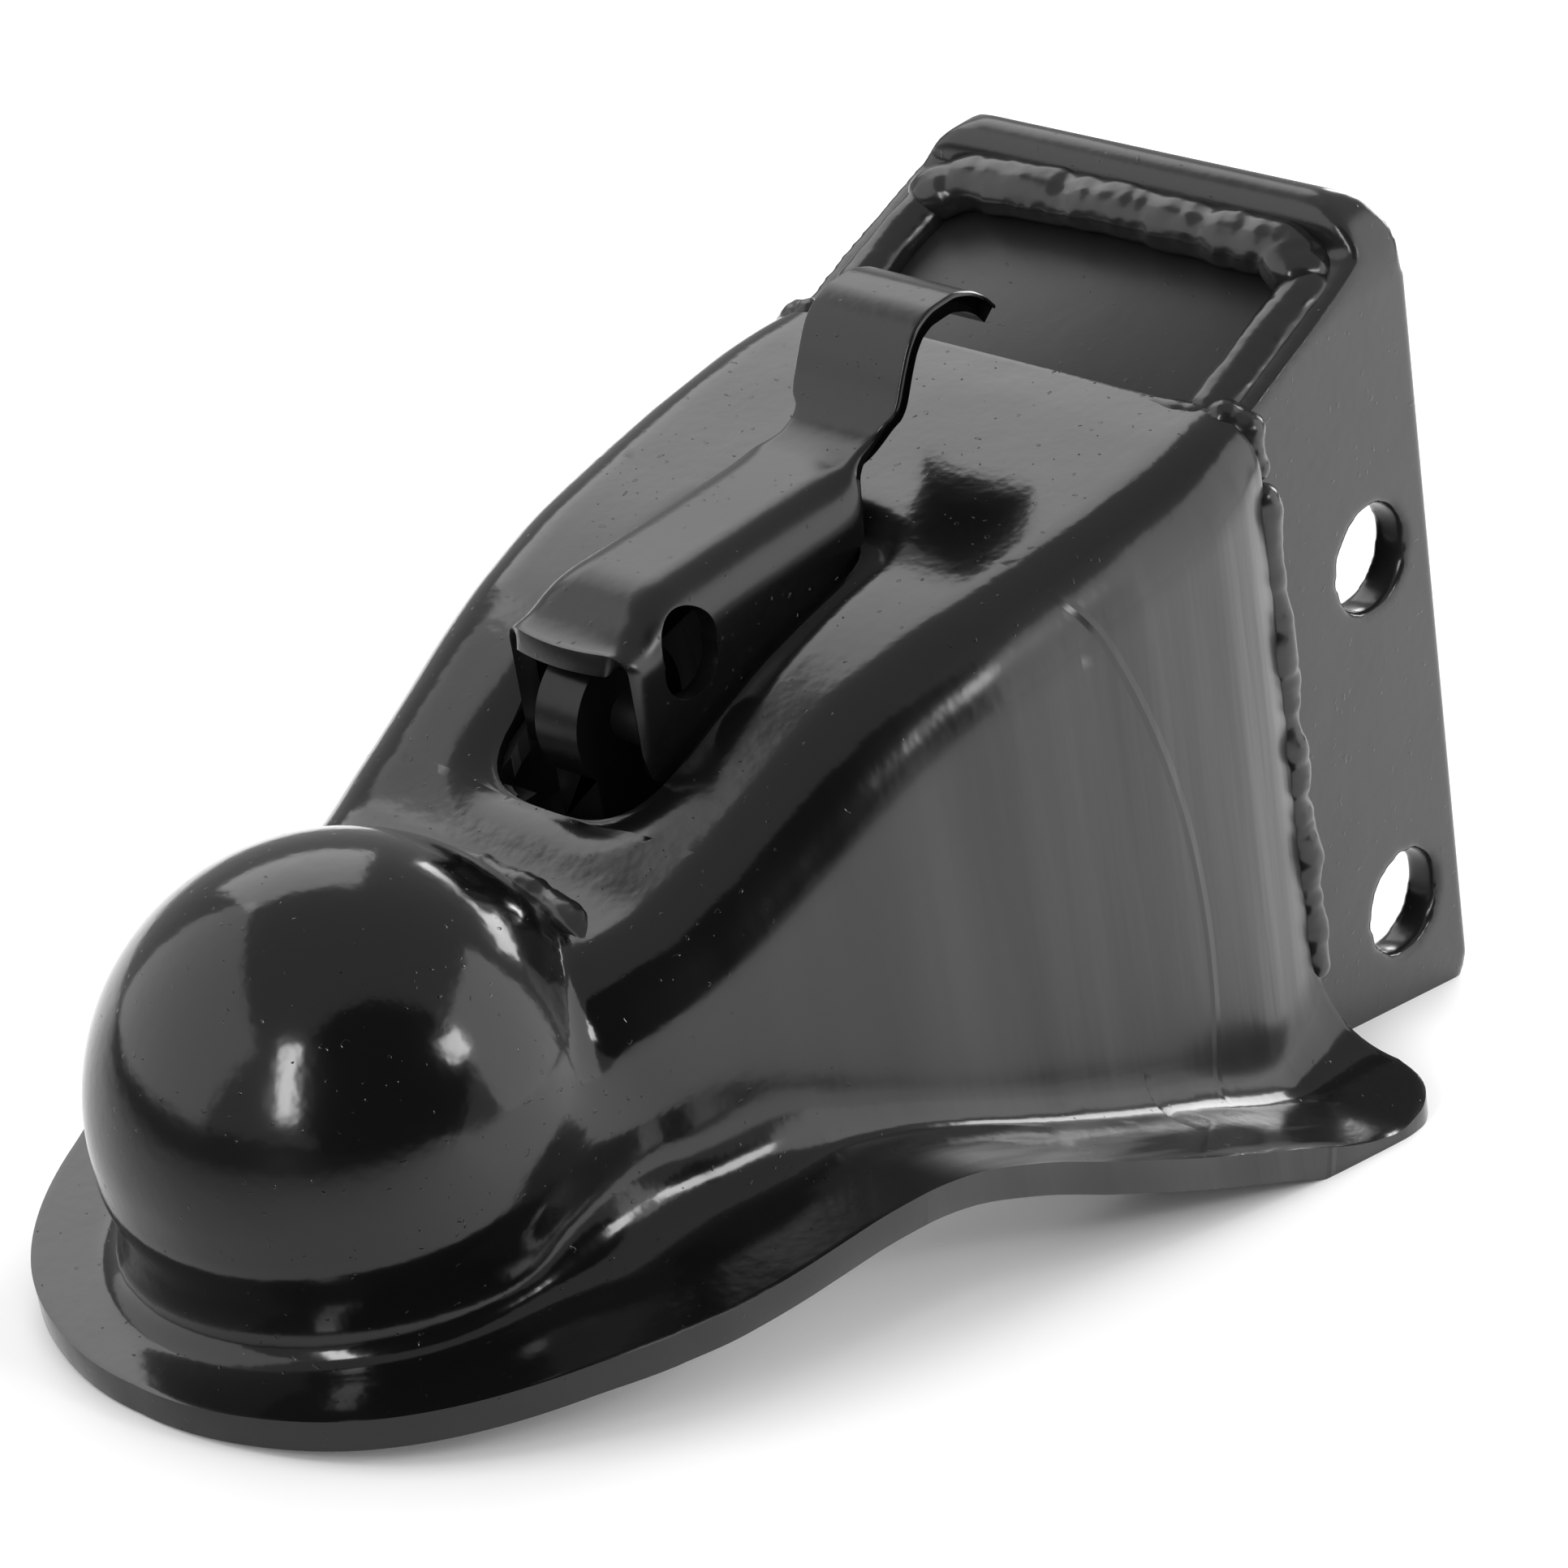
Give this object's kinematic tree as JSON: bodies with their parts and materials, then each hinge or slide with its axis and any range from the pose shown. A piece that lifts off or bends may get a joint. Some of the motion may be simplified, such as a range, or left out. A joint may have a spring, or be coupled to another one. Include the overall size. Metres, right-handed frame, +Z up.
{
  "type": "trailer ball coupler",
  "caption": "Channel-mount trailer coupler: domed ball socket on a flanged pressed body, lever latch, and a two-hole U bracket at the rear.",
  "frame": {"origin": "centre of the hitch ball when coupled, which is the centre of the dome's spherical socket", "axes": "+X across the part towards the side nearest in the picture, +Y back along the tow line towards the bracket, +Z up in use"},
  "size_m": [0.152, 0.2465, 0.147],
  "materials": {
    "black_paint": "gloss black enamel over pressed steel",
    "bracket_paint": "gloss black enamel over steel plate",
    "plate_paint": "satin black enamel",
    "weld_paint": "gloss black enamel over weld bead",
    "liner_paint": "gloss black enamel",
    "guide_paint": "black enamel",
    "lever_paint": "gloss black enamel over pressed steel",
    "yoke_paint": "gloss black enamel over forging",
    "pin_steel": "black enamel over steel pin",
    "zinc": "zinc plated",
    "clamp_iron": "as cast, oiled",
    "spring_steel": "bare spring wire"
  },
  "bodies": {
    "frame": {"coupler_body": "black_paint", "mount_band": "bracket_paint", "face_plate": "plate_paint", "weld_face_top": "weld_paint", "weld_face_left": "weld_paint", "weld_face_right": "weld_paint", "weld_body_top": "weld_paint", "weld_side_left": "weld_paint", "weld_side_right": "weld_paint", "weld_corner_left": "weld_paint", "weld_corner_right": "weld_paint", "weld_dome": "weld_paint", "slot_liner": "liner_paint", "clamp_guide": "guide_paint"},
    "yoke_body": {"yoke": "yoke_paint", "stem_washer": "zinc", "adjusting_nut": "zinc"},
    "lever_body": {"lever": "lever_paint", "lever_pin": "pin_steel"},
    "clamp_body": {"ball_clamp": "clamp_iron", "clamp_spring": "spring_steel"}
  },
  "joints": [
    {"name": "yoke_drop", "type": "slide", "parent": "frame", "child": "yoke_body", "axis": [0, 0, -1], "range_m": [0, 0.004]},
    {"name": "lever_tilt", "type": "hinge", "parent": "yoke_body", "child": "lever_body", "pos_m": [0, 0.0615, 0.031], "axis": [1, 0, 0], "range_deg": [0, 75]},
    {"name": "clamp_slide", "type": "slide", "parent": "frame", "child": "clamp_body", "axis": [0, 0.6, -0.8], "range_m": [0, 0.0048], "deforming": ["clamp_spring"]}
  ],
  "couplings": [
    {"joint": "yoke_drop", "follows": "lever_tilt", "m_per_rad": 0.003055},
    {"joint": "clamp_slide", "follows": "lever_tilt", "m_per_rad": 0.003666}
  ]
}
